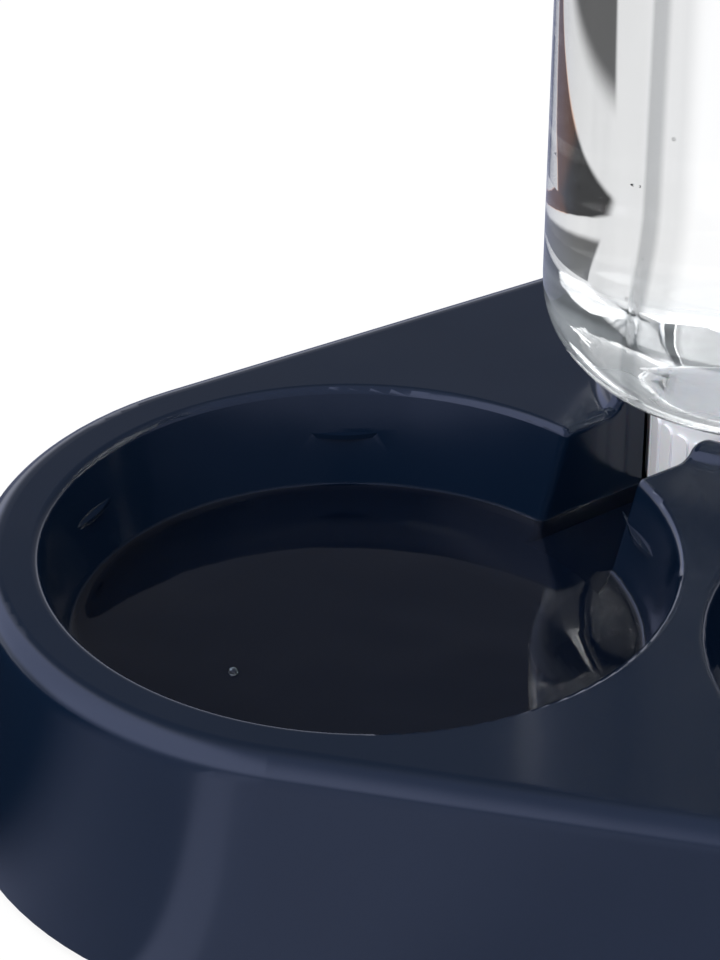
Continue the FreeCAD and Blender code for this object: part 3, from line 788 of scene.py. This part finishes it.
def winding_rule():
    """A round bar that winds up round an axis. With a taper of 1 it fades at both ends."""
    tree, shop, given = new_rule("winding", {"Radius": "Float", "Rise": "Float", "Turns": "Float", "Bar": "Float",
                                             "Taper": "Float", "Place": "Vector", "Material": "Material"})
    path = shop.add("GeometryNodeCurveSpiral", None,
                    {"Resolution": 96, "Rotations": given["Turns"], "Start Radius": given["Radius"],
                     "End Radius": given["Radius"], "Height": given["Rise"]})
    along = shop.add("GeometryNodeSplineParameter")
    fade = (along * 12.0).at_most((1.0 - along) * 12.0).at_least(1.0 - given["Taper"]).at_most(1.0)
    path = shop.add("GeometryNodeSetCurveRadius", None, {"Curve": path, "Radius": fade})
    bar = shop.add("GeometryNodeCurvePrimitiveCircle", None, {"Resolution": 12, "Radius": given["Bar"]})
    shape = shop.add("GeometryNodeCurveToMesh", None, {"Curve": path, "Profile Curve": bar, "Fill Caps": True})
    end_rule(shop, shape, given["Place"], given["Material"])
    return tree


def bubble_rule():
    """Small balls at random heights and directions on a drum's wall."""
    tree, shop, given = new_rule("bubbles", {"Count": "Int", "Seed": "Int", "Place": "Vector", "Distance": "Float",
                                             "Turn From": "Float", "Turn To": "Float", "Height From": "Float",
                                             "Height To": "Float", "Smallest": "Float", "Largest": "Float",
                                             "Material": "Material"})

    def chance(low, high, offset):
        """A random number for each bubble."""
        return shop.add("FunctionNodeRandomValue", {"data_type": "FLOAT"},
                        {2: low, 3: high, 8: given["Seed"] + offset}, output=1)

    turn = chance(given["Turn From"], given["Turn To"], 0.0)
    height = chance(given["Height From"], given["Height To"], 1.0)
    size = chance(given["Smallest"], given["Largest"], 2.0)
    reach = given["Distance"] - size * 0.8
    spot = shop.add("ShaderNodeCombineXYZ", None, {0: turn.cosine() * reach, 1: turn.sine() * reach, 2: height})
    spots = shop.add("GeometryNodePoints", None, {"Count": given["Count"], "Position": spot})
    ball = shop.add("GeometryNodeMeshIcoSphere", None, {"Radius": 1.0, "Subdivisions": 3})
    shape = shop.add("GeometryNodeInstanceOnPoints", None, {"Points": spots, "Instance": ball, "Scale": size})
    end_rule(shop, shape, given["Place"], given["Material"])
    return tree


# Operators

class CATBOWL_OT_finish_base(bpy.types.Operator):
    """Give the moulded base its navy plastic"""

    bl_idname = "catbowl.finish_base"
    bl_label = "Finish the base"

    def execute(self, context):
        scene = context.scene
        level = CAP_LOW.z + scene.cat_bowl_water.mouth_dip
        dress("base", navy_plastic(scene.cat_bowl_sizes, scene.cat_bowl_colours, level))
        return {"FINISHED"}


class CATBOWL_OT_finish_bottle(bpy.types.Operator):
    """Give the bottle and its cap their plastics, and the washer and the valve's ring their rubber"""

    bl_idname = "catbowl.finish_bottle"
    bl_label = "Finish the bottle and cap"

    def execute(self, context):
        colours = context.scene.cat_bowl_colours
        dress("bottle", clear_plastic(context.scene.cat_bowl_water.bottle_level))
        dress("bottle_cap", cap_plastic(colours))
        pale = rubber("seal_rubber", colours.seal_deep, colours.seal_light, 400)
        dress("cap_seal", pale)
        dress("valve_seal", pale)
        return {"FINISHED"}


class CATBOWL_OT_finish_valve(bpy.types.Operator):
    """Give the valve's cage and plunger their plastic"""

    bl_idname = "catbowl.finish_valve"
    bl_label = "Finish the valve"

    def execute(self, context):
        plastic = valve_plastic(context.scene.cat_bowl_colours)
        dress("valve_cage", plastic)
        dress("valve_plunger", plastic)
        return {"FINISHED"}


class CATBOWL_OT_wind_spring(bpy.types.Operator):
    """Wind the valve's spring in the place and to the height of the frame's spring"""

    bl_idname = "catbowl.wind_spring"
    bl_label = "Wind the valve's spring"

    def execute(self, context):
        spring = context.scene.cat_bowl_spring
        low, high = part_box("valve_spring")
        piece = build_by_rule("spring_coil", winding_rule(), {
            "Radius": (high.x - low.x - spring.wire) / 2, "Rise": high.z - low.z - spring.wire,
            "Turns": spring.turns, "Bar": spring.wire / 2, "Taper": 0.0,
            "Place": (SEAT_AXIS.x, SEAT_AXIS.y, low.z + spring.wire / 2), "Material": spring_steel()})
        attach(piece, "base_body")
        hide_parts("valve_spring")
        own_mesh(piece)
        return {"FINISHED"}


class CATBOWL_OT_finish_feet(bpy.types.Operator):
    """Give the four feet their dark rubber"""

    bl_idname = "catbowl.finish_feet"
    bl_label = "Finish the feet"

    def execute(self, context):
        colours = context.scene.cat_bowl_colours
        dark = rubber("foot_rubber", colours.foot_deep, colours.foot_light, 600)
        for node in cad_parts:
            if node.startswith("foot_"):
                dress(node, dark)
        return {"FINISHED"}


class CATBOWL_OT_cut_thread(bpy.types.Operator):
    """Wind the thread round the bottle's neck"""

    bl_idname = "catbowl.cut_thread"
    bl_label = "Wind the neck's thread"

    def execute(self, context):
        thread = context.scene.cat_bowl_thread
        piece = build_by_rule("neck_thread", winding_rule(), {
            "Radius": thread.radius, "Rise": thread.turns * thread.pitch, "Turns": thread.turns,
            "Bar": thread.height, "Taper": 1.0, "Place": (SEAT_AXIS.x, SEAT_AXIS.y, thread.start),
            "Material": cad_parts["bottle"].material_slots[0].material})
        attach(piece, "base_body")
        return {"FINISHED"}


class CATBOWL_OT_pour_water(bpy.types.Operator):
    """Fill the left bowl, the channel, the seat and the bottle with water"""

    bl_idname = "catbowl.pour_water"
    bl_label = "Pour the water"

    def execute(self, context):
        wet = context.scene.cat_bowl_water
        bowl_water(context.scene.cat_bowl_sizes, wet, still_water("bowl_water"))
        bottle_water(wet, still_water("bottle_water", wet.bottle_level - wet.layer / 2))
        return {"FINISHED"}


class CATBOWL_OT_add_bubbles(bpy.types.Operator):
    """Add small bubbles in the bottle and one on the bowl's water"""

    bl_idname = "catbowl.add_bubbles"
    bl_label = "Add the bubbles"

    def execute(self, context):
        wet, bubbles = context.scene.cat_bowl_water, context.scene.cat_bowl_bubbles
        rule, film = bubble_rule(), bubble_film()
        level = CAP_LOW.z + wet.mouth_dip
        bottle = build_by_rule("bottle_bubbles", rule, {
            "Count": bubbles.count, "Seed": BUBBLE_SEED, "Place": SEAT_AXIS, "Distance": BOTTLE_RADIUS - BUBBLES_IN,
            "Turn From": -math.pi, "Turn To": math.pi, "Height From": LOWEST_BUBBLE,
            "Height To": wet.bottle_level - BUBBLE_HEADROOM, "Smallest": bubbles.smallest,
            "Largest": bubbles.largest, "Material": film})
        lone = build_by_rule("bowl_bubble", rule, {
            "Count": 1, "Seed": LONE_SEED, "Place": row_places(context.scene.cat_bowl_sizes)[0],
            "Distance": bubbles.lone_distance, "Turn From": bubbles.lone_turn, "Turn To": bubbles.lone_turn,
            "Height From": level, "Height To": level, "Smallest": bubbles.lone_radius,
            "Largest": bubbles.lone_radius, "Material": film})
        for piece in (bottle, lone):
            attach(piece, "base_body")
        return {"FINISHED"}


class CATBOWL_OT_stage(bpy.types.Operator):
    """Set the floor, the studio light and the camera"""

    bl_idname = "catbowl.stage"
    bl_label = "Set the stage"

    def execute(self, context):
        scene = context.scene
        scene.view_settings.view_transform = "Standard"
        self.floor(scene)
        self.world(scene)
        for lamp in LAMPS:
            self.lamp(scene, *lamp)
        self.camera(scene)
        return {"FINISHED"}

    def floor(self, scene):
        """A wide pale floor that shows white and keeps the object's shadow.

        Mirrored rays see dark ground with pale panels on it, and rays through the bottle see dark patches behind it.
        """
        mesh = bpy.data.meshes.new("floor")
        mesh.from_pydata(turned([(9.0, 0.0)], Vector((0, 0, 0)), 96)[0], [], [tuple(range(96))])
        material, shop = new_material("floor")
        mirrored = shop.rays("Glossy Depth").above(0.5)
        bent = shop.rays("Is Transmission Ray")
        seen = shop.rays("Is Camera Ray", "Is Glossy Ray", "Is Transmission Ray")

        # The panels, by their direction from the left bowl: in front of it, and on the right
        x, y, z = shop.parts(shop.place())
        bowl = row_places(scene.cat_bowl_sizes)[0]
        turn = (y - bowl.y).turn_from(x - bowl.x)
        front = sum(turn.ramp(start, full) * brighter for start, full, brighter in FRONT_PANELS)
        panels = 0.012 + front * (1.0 - turn.ramp(-0.4, 0.1))
        panels = panels + turn.ramp(-0.2, 0.3) * (1.0 - turn.ramp(2.2, 2.6)) * 0.3

        # The dark patches: a card close behind the bottle, with a warm edge, and one further away
        card = x.ramp(0.034, 0.042) * (1.0 - (y - x * 0.07).ramp(0.242, 0.247)) * (y - x * 0.36).ramp(0.156, 0.162)
        far = (x * 2.3 - y).ramp(-0.172, -0.160) * y.ramp(0.285, 0.310) * (1.0 - y.ramp(0.9, 1.1))
        card = card.at_least(far * 0.9) * bent
        warm = card * x.ramp(0.085, 0.105) * (1.0 - y.ramp(0.26, 0.28))

        shown = (1.0 - mirrored * (1.0 - panels)) * (1.0 - card * 0.94)
        tint = shop.blend_colour(warm, WHITE, (2.6, 1.5, 1.0, 1))
        tint = shop.blend_colour(mirrored * (1.0 - bent), tint, GLOSS_TINT)
        matt = shop.surface(Base_Color=(0.88, 0.88, 0.88, 1), Roughness=0.8, IOR=1.2)
        white = shop.add("ShaderNodeEmission", None, {"Color": tint, "Strength": shown * 1.03})
        share = seen * (0.85 + card.at_least(mirrored) * 0.15)
        shop.finish(shop.mix(share, matt, white))
        make_object("floor", mesh, material)

    def world(self, scene):
        """White to the camera and near the horizon behind, dark higher up behind, bright above, in front and left."""
        scene.world = bpy.data.worlds.new("studio")
        scene.world.use_nodes = True
        shop = Shop(scene.world.node_tree, "ShaderNodeOutputWorld")
        mirrored = shop.rays("Glossy Depth").above(0.5)
        bent = shop.rays("Is Transmission Ray")
        seen = shop.rays("Is Glossy Ray", "Is Transmission Ray")
        camera = shop.rays("Is Camera Ray")
        x, y, z = shop.parts(shop.add("ShaderNodeTexCoord", output="Generated"))
        azimuth = scene.cat_bowl_stage.azimuth
        front = x * math.sin(azimuth) - y * math.cos(azimuth)
        aside = x * math.cos(azimuth) + y * math.sin(azimuth)
        tilt = z.turn_from(front * -1.0)
        low = 1.0 - tilt.ramp(0.12, 0.35)
        high = tilt.ramp(0.85, 1.6)
        left = (0.0 - aside).ramp(0.22, 0.42) * z.ramp(0.02, 0.3)
        back = 0.19 + low * 0.76 + (1.0 - tilt.ramp(0.5, 0.6)) * 0.14
        shine = back + high * 0.40 + left * 1.35 + (1.0 - mirrored) * high * 0.5
        level = 0.35 + seen * (shine - 0.35)
        level = level + camera * (1.0 - level)
        blue = mirrored * (1.0 - bent) * high.at_least(left).at_least(0.4)
        tint = shop.blend_colour(blue, WHITE, GLOSS_TINT)
        shop.finish(shop.add("ShaderNodeBackground", None, {"Color": tint, "Strength": level}))

    def lamp(self, scene, name, place, aim, width, height, power):
        """A softbox that gives light and isn't seen itself."""
        light = bpy.data.lights.new(name, "AREA")
        light.shape = "RECTANGLE"
        light.size, light.size_y, light.energy = width, height, power
        lamp = bpy.data.objects.new(name, light)
        lamp.location = place
        lamp.rotation_euler = (Vector(aim) - Vector(place)).to_track_quat("-Z", "Y").to_euler()
        lamp.visible_camera = False
        lamp.visible_glossy = False
        scene.collection.objects.link(lamp)

    def camera(self, scene):
        """The photograph's camera, aimed from the left bowl's middle on the rim's plane."""
        sizes, settings = scene.cat_bowl_sizes, scene.cat_bowl_stage
        bowl = row_places(sizes)[0] + Vector((0, 0, sizes.rim_height))
        back = Vector((math.sin(settings.azimuth) * math.cos(settings.elevation),
                       -math.cos(settings.azimuth) * math.cos(settings.elevation), math.sin(settings.elevation)))
        right = Vector((math.cos(settings.azimuth), math.sin(settings.azimuth), 0))
        up = back.cross(right)
        aim = bowl + right * settings.aim_right + up * settings.aim_up
        tilt = Matrix.Rotation(settings.roll, 3, back)
        axes = [tilt @ right, tilt @ up, back]
        data = bpy.data.cameras.new("camera")
        data.lens, data.sensor_width = settings.lens, 36
        camera = bpy.data.objects.new("camera", data)
        camera.matrix_world = Matrix.Translation(aim + back * settings.distance) @ Matrix(axes).transposed().to_4x4()
        scene.collection.objects.link(camera)
        scene.camera = camera


class CATBOWL_PT_panel(bpy.types.Panel):
    """Lists the steps that finish the bowl"""

    bl_idname = "CATBOWL_PT_panel"
    bl_label = "Cat Bowl"
    bl_space_type = "VIEW_3D"
    bl_region_type = "UI"
    bl_category = "Cat Bowl"

    def draw(self, context):
        for operator in OPERATORS:
            self.layout.operator(operator.bl_idname)


# In the order in which main calls them. The thread takes the bottle's material, so it comes after the bottle
OPERATORS = [CATBOWL_OT_finish_base, CATBOWL_OT_finish_bottle, CATBOWL_OT_finish_valve, CATBOWL_OT_wind_spring,
             CATBOWL_OT_finish_feet, CATBOWL_OT_cut_thread, CATBOWL_OT_pour_water, CATBOWL_OT_add_bubbles,
             CATBOWL_OT_stage]
SETTINGS = {"cat_bowl_sizes": CatBowlSizes, "cat_bowl_colours": CatBowlColours, "cat_bowl_water": CatBowlWater,
            "cat_bowl_thread": CatBowlThread, "cat_bowl_spring": CatBowlSpring, "cat_bowl_bubbles": CatBowlBubbles,
            "cat_bowl_stage": CatBowlStage}


def register():
    """Adds the settings, the operators and the panel."""
    for group in SETTINGS.values():
        bpy.utils.register_class(group)
    for name, group in SETTINGS.items():
        setattr(bpy.types.Scene, name, bpy.props.PointerProperty(type=group))
    for item in OPERATORS + [CATBOWL_PT_panel]:
        bpy.utils.register_class(item)


def unregister():
    """Takes them away again."""
    for item in reversed(OPERATORS + [CATBOWL_PT_panel]):
        bpy.utils.unregister_class(item)
    for name, group in SETTINGS.items():
        delattr(bpy.types.Scene, name)
        bpy.utils.unregister_class(group)


def main():
    """Finishes the bowl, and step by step."""
    register()
    for operator in OPERATORS:
        group, step = operator.bl_idname.split(".")
        getattr(getattr(bpy.ops, group), step)()


if __name__ == "__main__":
    main()
